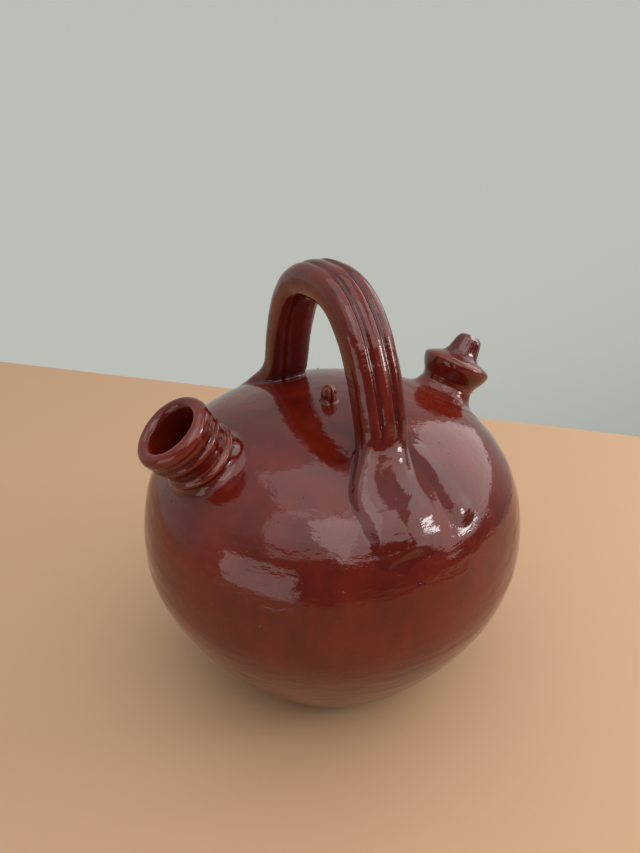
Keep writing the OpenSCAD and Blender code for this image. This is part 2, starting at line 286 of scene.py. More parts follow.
class Foot:
    """One end of the strap: a stretch of the leg, then the thumbed pad that runs out on the shoulder."""

    def __init__(self, drift, thumb):
        leg = arch(np.linspace(FOOT_A + SLEEVE_A, FOOT_A, LEG_STEPS, endpoint=False))
        leg_end = arch(np.array(FOOT_A))
        step = 0.005
        leg_way = unit(leg_end - arch(np.array(FOOT_A + step)))
        tail_end = np.array([TAIL_R, shoulder_height(TAIL_R)])
        k = int(np.argmin(np.abs(SHOULDER[:, 0] - TAIL_R)))
        out = unit(SHOULDER[k - 1] - SHOULDER[k + 1])
        reach = REACH_SHARE * np.linalg.norm(tail_end - leg_end)
        pulls = [leg_end, leg_end + leg_way * reach, tail_end - out * reach, tail_end]
        t = np.linspace(0, 1, 56)
        line = np.vstack([leg, bezier(pulls, t)])
        self.t = np.concatenate([np.linspace(-1, 0, LEG_STEPS, endpoint=False), t])
        self.way = unit(np.gradient(line, axis=0))
        self.inward = np.stack([self.way[:, 1], -self.way[:, 0]], 1)
        u = np.clip(self.t, 0, 1)
        width = np.where(u < WIDEST_AT, STRAP_W + (FOOT_W - STRAP_W) * ease(u / WIDEST_AT),
                         FOOT_W + (TAIL_W - FOOT_W) * ease((u - WIDEST_AT) / (1 - WIDEST_AT)))
        thin = ease(u / THINNED_AT)
        sleeve = TUCK - SLEEVE_DIVE * ease((-self.t - 0.35) / 0.6)
        top = STRAP_T / 2 * (1 - thin) + TAIL_T * (1 - u ** 3) * thin + FEATHER_T * u
        top = top - thumb * np.exp(-((self.t - 0.21) / 0.12) ** 2) - TAIL_DIVE * ease((u - 0.72) / 0.28)
        sunk = TAIL_SUNK * ease((u - 0.3) / 0.5)
        self.line = line + self.inward * sunk[:, None]
        self.half_w = width / 2 + sleeve
        self.half_t = top + sunk + sleeve
        self.square = STRAP_SQUARE + (2.1 - STRAP_SQUARE) * ease((u - 0.1) / 0.8)
        self.groove = RIB_DEPTH * (1 - ease((self.t + 0.10) / 0.32))
        self.middle = -drift * ease(u / DRIFTED_AT)

    def locate(self, p):
        """For points (across, away from the middle, up): nearest step along the line, and its share beyond."""
        a = self.line[:-1]
        d = self.line[1:] - a
        best = np.full(len(p), 1e9)
        place = np.zeros(len(p))
        for i in range(len(a)):
            rel = p[:, 1:] - a[i]
            s = np.clip((rel @ d[i]) / (d[i] @ d[i]), 0, 1)
            gap = np.sum((rel - s[:, None] * d[i]) ** 2, 1)
            closer = gap < best
            best = np.where(closer, gap, best)
            place = np.where(closer, i + s, place)
        return place

    def field(self, p):
        """Distance outside the clay, and how far along the foot the point lies."""
        place = self.locate(p)
        step = np.arange(len(self.line))

        def at(values):
            return np.interp(place, step, values)

        c, n, w = (np.stack([at(v[:, 0]), at(v[:, 1])], 1) for v in (self.line, self.inward, self.way))
        n, w = unit(n), unit(w)
        rel = p[:, 1:] - c
        v = -np.sum(rel * n, 1)
        u = p[:, 0] - at(self.middle)
        half_w, half_t, square = at(self.half_w), at(self.half_t), at(self.square)
        dip = np.exp(-((np.abs(u) / half_w - RIB_PLACE) / RIB_WIDTH) ** 2) * at(self.groove)
        deep = half_t - np.where(v > 0, dip, 0)
        rho = ((np.abs(u) / half_w) ** square + (np.abs(v) / deep) ** square) ** (1 / square)
        beyond = np.maximum(np.abs(np.sum(rel * w, 1)) - 0.5, 0)
        across = np.hypot(u, v) * (1 - 1 / np.maximum(rho, 1e-6))
        return np.hypot(np.maximum(across, 0), beyond) + np.minimum(across, 0), at(self.t)


# Meshes from fields and outlines

def sampled(field, grid, cell, stride=4):
    """The field on a grid, worked out point by point only in blocks that its surface may cross."""
    blocks = (np.array(grid.shape[:3]) - 1) // stride
    rough_grid = grid[::stride, ::stride, ::stride]
    rough = field(rough_grid.reshape(-1, 3)).reshape(rough_grid.shape[:3])
    nearest = np.full(blocks, np.inf)
    for corner in np.ndindex(2, 2, 2):
        part = rough[tuple(slice(c, c + b) for c, b in zip(corner, blocks))]
        nearest = np.minimum(nearest, np.abs(part))
    busy = nearest < 2 * stride * cell
    node = [np.arange(n) for n in grid.shape[:3]]
    above = [np.minimum(n // stride, b - 1) for n, b in zip(node, blocks)]
    under = [np.clip((n - 1) // stride, 0, b - 1) for n, b in zip(node, blocks)]
    wanted = np.zeros(grid.shape[:3], bool)
    for side in np.ndindex(2, 2, 2):
        wanted |= busy[np.ix_(*[(above, under)[k][axis] for axis, k in enumerate(side)])]
    value = rough[np.ix_(*above)]
    value[wanted] = field(grid[wanted])
    return value


def span(start, size):
    return tuple(slice(a, a + n) for a, n in zip(start, size))


def surface_net(field, low, high, cell):
    """A closed skin where the field is 0, between two corners, eased and pulled onto the true surface."""
    counts = 4 * np.ceil((high - low) / cell / 4).astype(int) + 1
    axes = [low[k] + cell * np.arange(counts[k]) for k in range(3)]
    grid = np.stack(np.meshgrid(*axes, indexing="ij"), -1)
    value = sampled(field, grid, cell)
    below = value < 0
    cells = counts - 1
    hits = np.zeros(cells)
    where = np.zeros(tuple(cells) + (3,))
    for axis in range(3):
        others = [k for k in range(3) if k != axis]
        for start_at in np.ndindex(2, 2):
            start = [0, 0, 0]
            start[others[0]], start[others[1]] = start_at
            a_at = span(start, cells)
            start[axis] = 1
            b_at = span(start, cells)
            a, b = value[a_at], value[b_at]
            cut = (a < 0) != (b < 0)
            share = np.where(cut, a / np.where(cut, a - b, 1), 0)
            spot = grid[a_at] * (1 - share[..., None]) + grid[b_at] * share[..., None]
            where += spot * cut[..., None]
            hits += cut
    crossed = hits > 0
    index = np.full(tuple(cells), -1)
    index[crossed] = np.arange(crossed.sum())
    points = where[crossed] / hits[crossed][:, None]
    quads = []
    for axis in range(3):
        u, v = [k for k in range(3) if k != axis]
        here, size = np.ones(3, int), counts - 2
        here[axis], size[axis] = 0, counts[axis] - 1
        a = below[span(here, size)]
        here[axis] = 1
        b = below[span(here, size)]
        spots = np.argwhere(a != b)
        starts_inside = a[tuple(spots.T)]
        ring = []
        for step in ((0, 0), (1, 0), (1, 1), (0, 1)):
            cell_at = spots.copy()
            cell_at[:, [u, v]] += step
            ring.append(index[tuple(cell_at.T)])
        ring = np.stack(ring, 1)
        turned_over = starts_inside if axis != 1 else ~starts_inside
        quads.append(np.where(turned_over[:, None], ring, ring[:, ::-1]))
    quads = np.vstack(quads)
    quads = quads[(quads >= 0).all(1)]
    for _ in range(3):
        points = pulled_onto(field, eased(points, quads, 0.5), cell)
    return pulled_onto(field, points, cell), quads


def pulled_onto(field, p, reach):
    """The points moved onto the surface where the field is 0."""
    h = 0.05
    for _ in range(2):
        here = field(p)
        slope = np.stack([field(p + np.eye(3)[k] * h) - here for k in range(3)], 1) / h
        move = here / np.maximum(np.sum(slope ** 2, 1), 0.25)
        p = p - slope * np.clip(move, -reach, reach)[:, None]
    return p


def gathered(at, values, n):
    """The sum of the values that go to each of n points."""
    return np.stack([np.bincount(at, v, n) for v in values.T], 1)


def shares(at, n):
    """How many values go to each of n points."""
    return np.maximum(np.bincount(at, minlength=n), 1)[:, None]


def neighbour_mean(points, quads):
    """The mean of each point's neighbours along the edges."""
    at = quads[:, [0, 1, 1, 2, 2, 3, 3, 0]].T.ravel()
    other = quads[:, [1, 0, 2, 1, 3, 2, 0, 3]].T.ravel()
    return gathered(at, points[other], len(points)) / shares(at, len(points))


def eased(points, quads, share):
    return points + (neighbour_mean(points, quads) - points) * share


def turned(outline, columns, ring=False):
    """Points and quads of an outline turned about Z; a ring's outline closes on itself."""
    o = np.asarray(outline, float)
    j = np.arange(columns)
    a = j * 2 * math.pi / columns
    p = np.stack([o[:, :1] * np.cos(a), o[:, :1] * np.sin(a), np.repeat(o[:, 1:], columns, 1)], -1)
    i = np.arange(len(o) if ring else len(o) - 1)[:, None] * columns
    next_i, next_j = (i + columns) % (len(o) * columns), (j + 1) % columns
    quads = np.stack([i + j, i + next_j, next_i + next_j, next_i + j], -1).reshape(-1, 4)
    return p.reshape(-1, 3), quads


def welded(points, quads):
    """The same mesh with the points of a pole made one."""
    _, first, same = np.unique(np.round(points, 5), axis=0, return_index=True, return_inverse=True)
    return points[first], same.reshape(-1)[quads]


def normals_of(points, quads):
    cross = np.cross(points[quads[:, 2]] - points[quads[:, 0]], points[quads[:, 3]] - points[quads[:, 1]])
    return unit(gathered(quads.T.ravel(), np.tile(cross, (4, 1)), len(points)))


# The hand of the potter

# Throwing rings: one every so many millimetres of height, and how deep
RING_WAVE, RING_DEEP = 7.5, 0.07

# Depth and width of dents, of finger marks, of small touches and of the fine grain, in millimetres
DENT, DENT_WAVE, PRESS, PRESS_WAVE, TOUCH, TOUCH_WAVE = 0.30, 38, 0.13, 16, 0.045, 7
GRAIN, GRAIN_WAVE = 0.018, 3.2

# How far all clay is drawn in, so that dents and bulges stay inside the solids, and how far the jug leans
KEEP_IN, LEAN, LEAN_WAVE = 0.35, 0.35, 95


def by_hand(p, n):
    """Points of the ideal form, moved as wheel, thumb and kiln leave real clay."""
    gap = globe_field(p)
    near = 1 - ease(gap / 6)
    angle = np.arctan2(p[:, 1], p[:, 0])
    run = p[:, 2] + 1.6 * cloud(p, 45, 11) + angle * RING_WAVE / (2 * math.pi)
    wheel = RING_DEEP * np.sin(run * 2 * math.pi / RING_WAVE) * (0.4 + 0.6 * cloud(p, 34, 12)) * near
    flat = p * np.array([1, 1, 2.2])
    dents = (DENT * cloud(p, DENT_WAVE, 1) + PRESS * cloud(flat, PRESS_WAVE, 2)
             + TOUCH * cloud(flat, TOUCH_WAVE, 3))
    fine = GRAIN * cloud(p * np.array([1, 1, 1.6]), GRAIN_WAVE, 4)
    grip = ease((p[:, 2] - 0.6) / 7)
    shift = n * ((wheel + dents - KEEP_IN) * grip + fine * np.minimum(grip + 0.2, 1))[:, None]
    lean = np.stack([share * cloud(p, LEAN_WAVE, seed) for share, seed in ((1, 21), (1, 22), (0.5, 23))], 1)
    return p + shift + LEAN * lean * ease(p[:, 2] / 40)[:, None]


def thinness(points, quads):
    """From -1 in the hollows, where glaze pools, to 1 on the edges, where it runs thin."""
    n = normals_of(points, quads)
    bend = np.sum((points - neighbour_mean(points, quads)) * n, 1)
    size = np.linalg.norm(points[quads[:, 0]] - points[quads[:, 2]], axis=1)
    at = quads.T.ravel()
    edge = gathered(at, np.tile(size, 4)[:, None], len(points)) / shares(at, len(points))
    value = bend[:, None] / np.maximum(edge, 1e-6) ** 2 * 8
    for _ in range(4):
        value = eased(value, quads, 0.6)
    return np.clip(value[:, 0], -1, 1)


def polygons(quads):
    """Quads as lists, with a triangle where two corners are one."""
    faces = []
    for q in quads.tolist():
        corners = [c for k, c in enumerate(q) if c != q[k - 1]]
        if len(corners) > 2:
            faces.append(corners)
    return faces


def new_object(name, data):
    thing = bpy.data.objects.new(name, data)
    bpy.context.scene.collection.objects.link(thing)
    return thing


def clay_mesh(name, points, quads, look, even=False, gone=None):
    """A smooth mesh in metres, with its glaze, its thin edges unless even, and the places that lost it."""
    mesh = bpy.data.meshes.new(name)
    mesh.from_pydata((points * MM).tolist(), [], polygons(quads))
    mesh.shade_smooth()
    thin = np.zeros(len(points)) if even else thinness(points, quads)
    for label, value in (("glaze_thin", thin), ("glaze_gone", gone)):
        if value is not None:
            attribute = mesh.attributes.new(label, "FLOAT", "POINT")
            attribute.data.foreach_set("value", value.astype(np.float32))
    mesh.materials.append(look)
    mesh.update()
    return new_object(name, mesh)


def fitted(piece, node):
    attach(piece, "root")
    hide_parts(node)


def clay_piece(name, points, quads, look, gone=None):
    """A piece in the clay's own unevenness, in the place of its node."""
    points = by_hand(points, normals_of(points, quads))
    fitted(clay_mesh(name, points, quads, look, gone=gone), name)


# Node trees and materials

def give(tree, socket, value):
    """Joins a term or a socket to an input, and takes anything else as its value."""
    value = value.socket if isinstance(value, Term) else value
    if isinstance(value, bpy.types.NodeSocket):
        tree.links.new(value, socket)
    else:
        socket.default_value = value


def new_node(tree, kind, inputs):
    """A node with some of its inputs given."""
    node = tree.nodes.new(kind)
    for label, value in inputs.items():
        give(tree, node.inputs[label], value)
    return node


class Term:
    """A number in a node tree that takes plain arithmetic."""

    def __init__(self, tree, socket):
        self.tree, self.socket = tree, socket

    def made(self, operation, *values):
        node = new_node(self.tree, "ShaderNodeMath", dict(enumerate(values)))
        node.operation = operation
        return Term(self.tree, node.outputs[0])

    def __add__(self, other):
        return self.made("ADD", self, other)

    __radd__ = __add__

    def __sub__(self, other):
        return self.made("SUBTRACT", self, other)

    def __rsub__(self, other):
        return self.made("SUBTRACT", other, self)

    def __mul__(self, other):
        return self.made("MULTIPLY", self, other)

    __rmul__ = __mul__

    def __truediv__(self, other):
        return self.made("DIVIDE", self, other)

    def __rtruediv__(self, other):
        return self.made("DIVIDE", other, self)

    def scaled(self, factor, shift):
        return self.made("MULTIPLY_ADD", self, factor, shift)

    def sin(self):
        return self.made("SINE", self)

    def cos(self):
        return self.made("COSINE", self)

    def power(self, e):
        """The size of the number to a power, with its sign kept."""
        size = self.made("POWER", self.made("ABSOLUTE", self), e)
        return self.made("MULTIPLY", size, self.made("SIGN", self))

    def bell(self, width):
        """1 at zero, falling to nothing past the width."""
        ratio = self / width
        return self.made("EXPONENT", -1 * (ratio * ratio))

    def size(self):
        return self.made("ABSOLUTE", self)

    def at_most(self, other):
        return self.made("MINIMUM", self, other)

    def at_least(self, other):
        return self.made("MAXIMUM", self, other)


def ramp(tree, share, stops):
    """The colour at a share of the way through the stops."""
    node = new_node(tree, "ShaderNodeValToRGB", {"Fac": share})
    element = node.color_ramp.elements
    while len(element) < len(stops):
        element.new(0.5)
    for e, (place, colour) in zip(element, stops):
        e.position = place
        e.color = (*colour, 1)
    return node.outputs["Color"]


class Shade:
    """A material's node tree with short calls for the nodes that glazes share."""

    def __init__(self, name):
        self.material = bpy.data.materials.new(name)
        self.material.use_nodes = True
        self.tree = self.material.node_tree
        self.place = self.node("ShaderNodeTexCoord", {}).outputs["Object"]

    def node(self, kind, inputs):
        return new_node(self.tree, kind, inputs)

    def stretched(self, x, y, z):
        return self.node("ShaderNodeMapping", {"Vector": self.place, "Scale": (x, y, z)}).outputs["Vector"]

    def noise(self, scale, detail=2.0, rough=0.5, vector=None, distortion=0.0):
        node = self.node("ShaderNodeTexNoise", {"Vector": vector or self.place, "Scale": scale,
                                                "Detail": detail, "Roughness": rough,
                                                "Distortion": distortion})
        return Term(self.tree, node.outputs["Fac"])

    def cells(self, scale):
        node = self.node("ShaderNodeTexVoronoi", {"Vector": self.place, "Scale": scale})
        return Term(self.tree, node.outputs["Distance"])

    def between(self, value, low, high):
        node = self.node("ShaderNodeMapRange", {"Value": value, "From Min": low, "From Max": high})
        node.interpolation_type = "SMOOTHSTEP"
        return Term(self.tree, node.outputs["Result"])

    def mix(self, share, a, b):
        node = self.tree.nodes.new("ShaderNodeMix")
        node.data_type = "RGBA"
        give(self.tree, node.inputs[0], share)
        for socket, value in ((node.inputs[6], a), (node.inputs[7], b)):
            give(self.tree, socket, (*value, 1) if isinstance(value, tuple) else value)
        return node.outputs[2]

    def grain(self, share, colour, darkest):
        """The colour in grains, down to a share of its strength."""
        return self.mix(share, colour, tuple(darkest * c for c in colour))

    def bump(self, height, depth, under=None):
        inputs = {"Strength": 1.0, "Distance": depth, "Height": height}
        if under is not None:
            inputs["Normal"] = under
        return self.node("ShaderNodeBump", inputs).outputs["Normal"]

    def attribute(self, name):
        node = self.node("ShaderNodeAttribute", {})
        node.attribute_name = name
        return Term(self.tree, node.outputs["Fac"])

    def finished(self, colour, gloss, skin=None, ior=None):
        """The material, once its colour, roughness, relief and refraction are in its shader."""
        shader = self.tree.nodes["Principled BSDF"]
        for label, value in (("Base Color", colour), ("Roughness", gloss), ("Normal", skin), ("IOR", ior)):
            if value is not None:
                give(self.tree, shader.inputs[label], value)
        return self.material


# Oxblood glaze over red earthenware, from pooled to thin
POOLED = (0.045, 0.003, 0.002)
DEEP = (0.080, 0.006, 0.003)
OXBLOOD = (0.125, 0.011, 0.005)
RUST = (0.180, 0.026, 0.011)
BARE_CLAY = (0.30, 0.115, 0.055)
IRON_SPECK = (0.020, 0.006, 0.005)
CHIPPED = (0.52, 0.44, 0.39)

# How strongly the glaze mirrors
GLAZE_IOR = 1.52


def oxblood_glaze(name, painted_shade_shift=0.0, jagged=0.00010, bare_foot=False, chipped=False):
    s = Shade(name)
    broad = s.noise(16, 3, 0.55)
    streaks = s.noise(60, 3, 0.6, s.stretched(1, 1, 0.35))
    # A negative shift moves the whole piece's glaze towards the pooled tones: painted shade
    tone = broad * 0.65 + streaks * 0.35 + s.attribute("glaze_thin") * 0.30 + painted_shade_shift
    colour = ramp(s.tree, tone, [(0.20, POOLED), (0.42, DEEP), (0.58, OXBLOOD), (0.80, RUST)])
    specks = s.between(s.cells(420), 0.13, 0.05)
    rare = s.between(s.noise(90, 1), 0.60, 0.68)
    colour = s.mix(specks * (rare * 0.75), colour, IRON_SPECK)
    smudge = s.noise(38, 4, 0.65, s.stretched(1, 1, 1.7))
    gloss = s.between(smudge, 0.50, 0.72).scaled(0.10, 0.055)
    ripple = s.noise(95, 2, 0.5, s.stretched(1, 1, 2.4), 0.3)
    jag = s.noise(230, 3, 0.6, s.stretched(1, 1, 2.6))
    peel = s.noise(1100, 1, 0.5)
    pits = s.between(s.cells(230), 0.10, 0.02)
    rare_pits = s.between(s.noise(60, 1), 0.58, 0.66)
    skin = s.bump(ripple, 0.00022)
    skin = s.bump(jag, jagged, skin)
    skin = s.bump(peel, 0.000006, skin)
    skin = s.bump(pits * rare_pits * -1.0, 0.00025, skin)
    if bare_foot:
        split = s.node("ShaderNodeSeparateXYZ", {0: s.place})
        height = s.noise(70, 3).scaled(0.0012, split.outputs["Z"])
        bare = s.between(height, 0.0021, 0.0012)
        colour = s.mix(bare, colour, s.grain(s.noise(700, 4, 0.7), BARE_CLAY, 0.62))
        gloss = gloss + bare * 0.8
    if chipped:
        ragged = s.noise(650, 3, 0.6).scaled(0.5, s.attribute("glaze_gone"))
        chip = s.between(ragged, 0.78, 0.86)
        colour = s.mix(chip, colour, s.grain(s.noise(1500, 3, 0.7), CHIPPED, 0.6))
        gloss = gloss + chip * 0.6
        skin = s.bump(chip * -1.0, 0.0002, skin)
    return s.finished(colour, gloss, skin, GLAZE_IOR)


def raw_clay(name):
    s = Shade(name)
    grain = s.noise(500, 5, 0.7)
    return s.finished(s.grain(grain, BARE_CLAY, 0.55), 0.85, s.bump(grain, 0.0002))


body_glaze = oxblood_glaze("oxblood_body_glaze", bare_foot=True)
# The neck and strap glazes are darker copies of the body glaze: painted shade, as under the saucer and on the
# strap's inner face
neck_glaze = oxblood_glaze("oxblood_neck_glaze", -0.07, 0.00006, chipped=True)
luting_glaze = oxblood_glaze("oxblood_luting_glaze")
strap_glaze = oxblood_glaze("oxblood_strap_glaze", -0.08, 0.00008)
inside_clay = raw_clay("raw_inside_clay")


# Geometry Nodes: a grid whose points follow a formula, and beads of glaze on a surface

def new_tree(name, sizes):
    """A geometry tree with the sizes as inputs; with it its start, and the sizes and position as terms."""
    tree = bpy.data.node_groups.new(name + "_form", "GeometryNodeTree")
    for way in ("INPUT", "OUTPUT"):
        tree.interface.new_socket("Geometry", in_out=way, socket_type="NodeSocketGeometry")
    for label, value in sizes.items():
        tree.interface.new_socket(label, in_out="INPUT", socket_type="NodeSocketFloat").default_value = value
    start = tree.nodes.new("NodeGroupInput")
    position = tree.nodes.new("GeometryNodeInputPosition").outputs[0]
    split = new_node(tree, "ShaderNodeSeparateXYZ", {0: position})
    terms = {label: Term(tree, start.outputs[label]) for label in sizes}
    return tree, start, terms, [Term(tree, split.outputs[k]) for k in "XYZ"]


def formula_piece(name, rows, columns, sizes, formula, look):
    """A closed skin by Geometry Nodes: a grid whose points follow a formula of u, v and the sizes."""
    tree, _, terms, place = new_tree(name, sizes)
    grid = new_node(tree, "GeometryNodeMeshGrid", {"Size X": 1, "Size Y": 1, "Vertices X": rows,
                                                   "Vertices Y": columns})
    spot = new_node(tree, "ShaderNodeCombineXYZ",
                    dict(enumerate(formula(place[0] + 0.5, place[1] + 0.5, terms))))
    move = new_node(tree, "GeometryNodeSetPosition", {"Geometry": grid.outputs["Mesh"],
                                                      "Position": spot.outputs[0]})
    weld = new_node(tree, "GeometryNodeMergeByDistance", {"Geometry": move.outputs["Geometry"],
                                                          "Distance": 0.01 * MM})
    end_tree(tree, weld.outputs["Geometry"], look)
    points, quads = grown(bpy.data.meshes.new(name + "_host"), tree, sizes)
    return points, quads[:, ::-1]


def end_tree(tree, last, look):
    """Realize Instances and Set Material before the tree's output."""
    solid = new_node(tree, "GeometryNodeRealizeInstances", {0: last})
    dress = new_node(tree, "GeometryNodeSetMaterial", {"Geometry": solid.outputs[0], "Material": look})
    new_node(tree, "NodeGroupOutput", {0: dress.outputs[0]})


def as_made(thing):
    """A new mesh of the object with its modifiers run."""
    evaluated = thing.evaluated_get(bpy.context.evaluated_depsgraph_get())
    return bpy.data.meshes.new_from_object(evaluated)


def grown(base, tree, sizes):
    """Runs a geometry tree on a mesh and gives its points, in millimetres, and its quads."""
    host = new_object(base.name, base)
    modifier = host.modifiers.new("form", "NODES")
    modifier.node_group = tree
    sockets = {item.name: item.identifier for item in tree.interface.items_tree}
    for label, value in sizes.items():
        modifier[sockets[label]] = value
    bpy.context.view_layer.update()
    mesh = as_made(host)
    points = np.zeros(len(mesh.vertices) * 3)
    mesh.vertices.foreach_get("co", points)
    quads = []
    for face in mesh.polygons:
        corners = list(face.vertices)
        quads.append(corners if len(corners) == 4 else corners + corners[-1:])
    host.modifiers.remove(modifier)
    bpy.data.objects.remove(host)
    bpy.data.meshes.remove(mesh)
    bpy.data.node_groups.remove(tree)
    return points.reshape(-1, 3) / MM, np.array(quads)


def strap_formula(u, v, size):
    """The strap: a three-ribbed section swept over the arch, closed at both ends."""
    first = size["First angle"]
    tip = (u * 50).at_most((1 - u) * 50).at_most(1)
    a = first + (math.pi - 2 * first) * ((u - 0.02) / 0.96).at_least(0).at_most(1)

    def on_arch(angle):
        e = 2 / size["Squareness"]
        y = size["Half span"] * angle.cos().power(e)
        z = size["Spring"] + size["Rise"] * angle.sin().power(e)
        return y, z

    step = 0.004
    y0, z0 = on_arch(a - step)
    y1, z1 = on_arch(a + step)
    y, z = on_arch(a)
    length = ((y1 - y0) * (y1 - y0) + (z1 - z0) * (z1 - z0)).power(0.5)
    out_y, out_z = (z1 - z0) / length, (y0 - y1) / length
    turn = v * (2 * math.pi)
    e = 2 / size["Section squareness"]
    across = turn.cos().power(e)
    side = turn.sin().power(e)
    groove = (across.size() - size["Rib place"]).bell(size["Rib width"]) * size["Rib depth"] * side.at_least(0)
    to_end = (a - first).at_most(math.pi - first - a)
    dive = size["End dive"] * (1 - (to_end / 0.05).at_most(1))
    reach = ((size["Thickness"] / 2 - dive) * side - groove) * tip
    x = (size["Width"] / 2 - dive) * across * tip
    return x, y + out_y * reach, z + out_z * reach


# The knob's sizes in millimetres: it stands a little sunk in the crown
KNOB_R, KNOB_RING_R, KNOB_RING_T, KNOB_H, KNOB_SUNK, FLUTE_DEPTH, FLUTES = 5.0, 7.7, 2.1, 11.1, 1.2, 0.5, 9


def knob_formula(u, v, size):
    """The pinched knob: a low ring, a waist and a fluted dome."""
    turn = v * (2 * math.pi)
    dome = ((u - 0.35) / 0.65).at_least(0)
    ring = ((0.35 - u) / 0.35).at_least(0)
    closing = (1 - dome * dome * dome).at_least(0).power(0.5)
    radius = size["Radius"] * closing * (1 - 0.10 * (dome - 0.15).bell(0.2))
    radius = radius + (size["Ring radius"] - size["Radius"]) * ring
    flutes = 0.5 - 0.5 * (turn * size["Flutes"] + 0.5).cos()
    depth = size["Flute depth"] * flutes * (dome - 0.5).bell(0.42)
    radius = (radius - depth).at_least(0) * (u * 60).at_most(1)
    z = size["Crown"] + size["Ring thickness"] * (1 - ring) * (1 - ring * ring) - KNOB_SUNK * MM
    z = z + (size["Height"] - size["Ring thickness"]) * dome
    return radius * turn.cos(), radius * turn.sin(), z


# Pieces

def globe_skin(step, columns):
    """The globe's outside with the hand of the potter in it."""
    points, quads = welded(*turned(paced(globe_outline(), step), columns))
    return by_hand(points, normals_of(points, quads)), quads


def make_body():
    points, quads = globe_skin(1.5, 410)
    body = clay_mesh("body", points, quads, body_glaze)
    points, quads = turned(paced(hollow_outline(), 5), 96)
    inner = clay_mesh("hollow", *welded(points, quads[:, ::-1]), body_glaze, even=True)
    inner.data.polygons.foreach_set("material_index", [1] * len(inner.data.polygons))
    for shell in (body, inner):
        shell.data.materials.append(inside_clay)
    bores = []
    for neck, hole in ((mouth_neck, MOUTH_BORE_R), (spout_neck, SPOUT_HOLE_R)):
        r = hole + BORE_ROOM
        points, quads = turned([(0, -BORE_IN), (r, -BORE_IN), (r, BORE_OUT), (0, BORE_OUT)], 64)
        bores.append(clay_mesh("cutter", *welded(neck.place(points), quads), inside_clay, even=True))
    with bpy.context.temp_override(active_object=body, selected_editable_objects=[body, inner]):
        bpy.ops.object.join()
    for bore in bores:
        cut = body.modifiers.new("bore", "BOOLEAN")
        cut.operation = "DIFFERENCE"
        cut.solver = "MANIFOLD"
        cut.object = bore
    mesh = as_made(body)
    body.modifiers.clear()
    body.data = mesh
    for bore in bores:
        bpy.data.objects.remove(bore)
    fitted(body, "body")


def make_lathe(name, neck, outline, columns, wobble, look, gone=None):
    """A neck thrown on the wheel: an outline turned about its own axis, with a thrower's unevenness."""
    points, quads = turned(paced(outline, 0.55), columns, ring=True)
    angle = np.arctan2(points[:, 1], points[:, 0])
    clay_piece(name, neck.place(wobble(points, angle)), quads, look, gone and gone(points))


def mouth_wobble(p, angle):
    """The beads climb a little as they go round, and the lip isn't quite even."""
    q = p.copy()
    outer = ease((np.hypot(p[:, 0], p[:, 1]) - 14) / 4)
    climb = 0.8 * np.sin(angle + 2.4) + 0.3 * np.sin(2 * angle + 2.0) + 0.35 * cloud(p, 17, 31)
    q[:, 2] += climb * outer * ease((p[:, 2] - 6) / 8) * (1 - 0.75 * ease((p[:, 2] - 21) / 4))
    swell = 1 + 0.010 * np.sin(angle * 2 + 0.4) + 0.006 * np.sin(angle * 3 + 1.1) + 0.014 * cloud(p, 12, 32)
    q[:, :2] *= swell[:, None]
    return q


def spout_wobble(p, angle):
    """Faint flutes on the nozzle, a slight lean and an uneven saucer."""
    q = p.copy()
    r, h = np.hypot(p[:, 0], p[:, 1]), p[:, 2]
    nozzle = ease((h - 26) / 4) * ease((r - 3) / 2)
    flutes = 0.28 * (np.cos(9 * angle + 0.7) + 0.3 * np.sin(4 * angle))
    q[:, :2] *= (1 + (flutes * nozzle * (1 - ease((h - 35.5) / 3))) / np.maximum(r, 1))[:, None]
    q[:, :2] *= (1 + 0.012 * np.sin(2 * angle + 1) * ease((r - 12) / 6))[:, None]
    q[:, 2] += 0.35 * np.sin(angle + 2.2) * ease((r - 12) / 8)
    high = np.maximum(h - 22, 0)
    q[:, 0] += 0.03 * high
    q[:, 1] -= 0.025 * high
    return q


def tip_wear(p):
    """Lips have worn the glaze off round the drinking hole, more on the side towards the handle's front."""
    gap = np.linalg.norm((p - np.array([-2.8, -4.2, 37.0])) * np.array([1, 1, 1.2]), axis=1)
    return 1 - ease((gap - 0.8) / 3.6)


def make_coil(name, neck, section, smear, smear_r, top, low, high, cell):
    """Clay smeared round a neck's root: it ends smear_r from the neck's axis and below the height top."""

    def field(p):
        r, h = neck.section(p)
        globe, wall = globe_field(p), section(r, h)
        shoulder = globe + TUCK + EDGE_DIVE * ease((r - smear_r) / EDGE_RUN)
        clay = smear(p, r, h, shoulder, wall + TUCK)
        return np.maximum.reduce([clay, -(globe + KEPT_UNDER), -(wall + KEPT_UNDER),
                                  r - smear_r - EDGE_ROOM, h - top])

    make_net(name, field, low, high, cell, luting_glaze)


def mouth_smear(p, r, h, shoulder, neck):
    """A small rolled ring round the collar, and a hollow down to the shoulder."""
    ring_r, ring_h, ring_t = 18.75, 5.2, 1.7
    angle = np.arctan2((p - mouth_neck.root) @ mouth_neck.across, (p - mouth_neck.root) @ mouth_neck.down)
    rise = ring_h + 0.5 * np.sin(angle * 2 + 0.5) + 0.3 * np.sin(angle * 3)
    ring = np.hypot(r - ring_r, h - rise) - ring_t
    return blended(blended(shoulder, neck, 6.5), ring, 1.6)


def spout_smear(p, r, h, shoulder, neck):
    """Clay drawn from the shoulder up the spout's neck in one wide sweep."""
    narrow, wide = 10, 18
    hollow = np.clip(26 * (1 - ease((h + 1) / 10.5)), 0.4, narrow + (wide - narrow) * ease((r - 19) / 11))
    return blended(shoulder, neck + 0.5 * ease((h - 8) / 1.3), hollow)


def about_z(p, degrees):
    a = math.radians(degrees)
    return np.stack([p[:, 0] * math.cos(a) - p[:, 1] * math.sin(a),
                     p[:, 0] * math.sin(a) + p[:, 1] * math.cos(a), p[:, 2]], 1)


